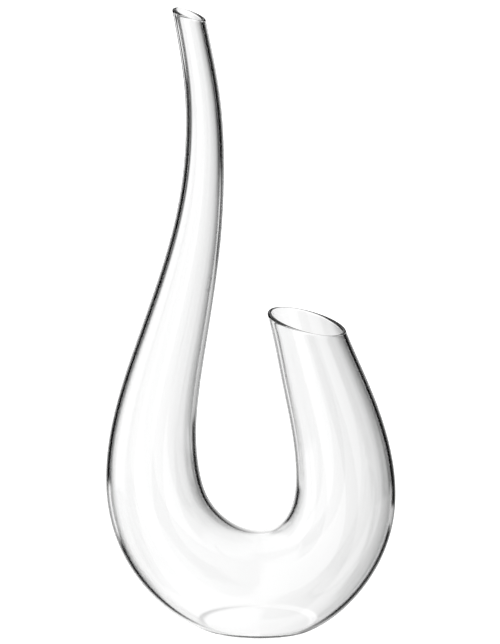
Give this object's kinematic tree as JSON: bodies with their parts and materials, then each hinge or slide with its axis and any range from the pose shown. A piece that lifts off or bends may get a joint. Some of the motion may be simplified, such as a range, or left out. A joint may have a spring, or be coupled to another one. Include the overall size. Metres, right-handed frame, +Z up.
{
  "type": "wine decanter",
  "caption": "U-shaped clear glass wine decanter with a tall slender pouring neck, a rounded bowl on a flat foot, and a shorter, wider filling neck.",
  "frame": {"origin": "on the table under the middle of the decanter, at the foot's flat underside", "axes": "+Z up; +X from the tall pouring neck towards the shorter filling neck; +Y across the thickness, so the tube's centre line lies in the plane Y = 0"},
  "size_m": [0.1794, 0.0696, 0.3992],
  "materials": {
    "clear_glass": "polished"
  },
  "bodies": {
    "root": {"pouring_lip": "clear_glass", "pouring_neck": "clear_glass", "shoulder": "clear_glass", "left_arm": "clear_glass", "bowl": "clear_glass", "foot": "clear_glass", "right_arm": "clear_glass", "filling_neck": "clear_glass", "filling_lip": "clear_glass"}
  },
  "joints": []
}
